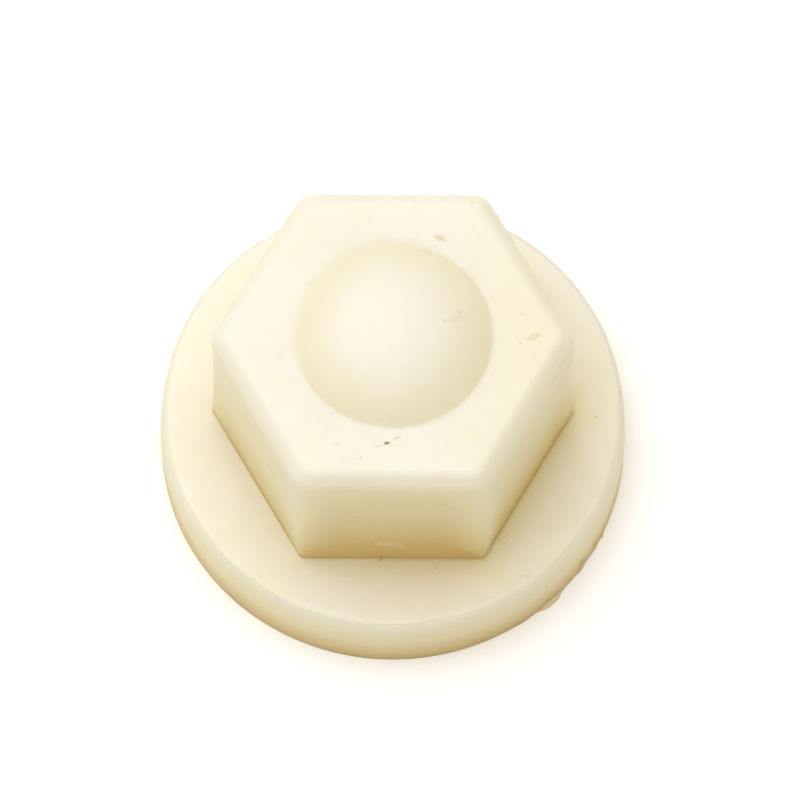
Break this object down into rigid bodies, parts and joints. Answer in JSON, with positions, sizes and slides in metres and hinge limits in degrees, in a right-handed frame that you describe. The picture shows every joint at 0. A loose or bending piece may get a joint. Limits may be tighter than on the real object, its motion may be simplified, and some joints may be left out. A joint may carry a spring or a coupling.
{
  "type": "wheel lock nut",
  "caption": "Moulded nylon wheel lock nut: a hexagon on a round flange, closed by a low dome, with a blind threaded hole in its flat seat.",
  "frame": {"origin": "on the nut's axis, in the flat seat face of the flange", "axes": "+Z along the axis from the seat to the domed end; -Y out of one flat of the hexagon; +X through one of its corners"},
  "size_m": [0.0284, 0.0284, 0.0191],
  "materials": {
    "natural_nylon": "satin moulded natural nylon, ivory"
  },
  "bodies": {
    "root": {"lock_nut": "natural_nylon"}
  },
  "joints": []
}
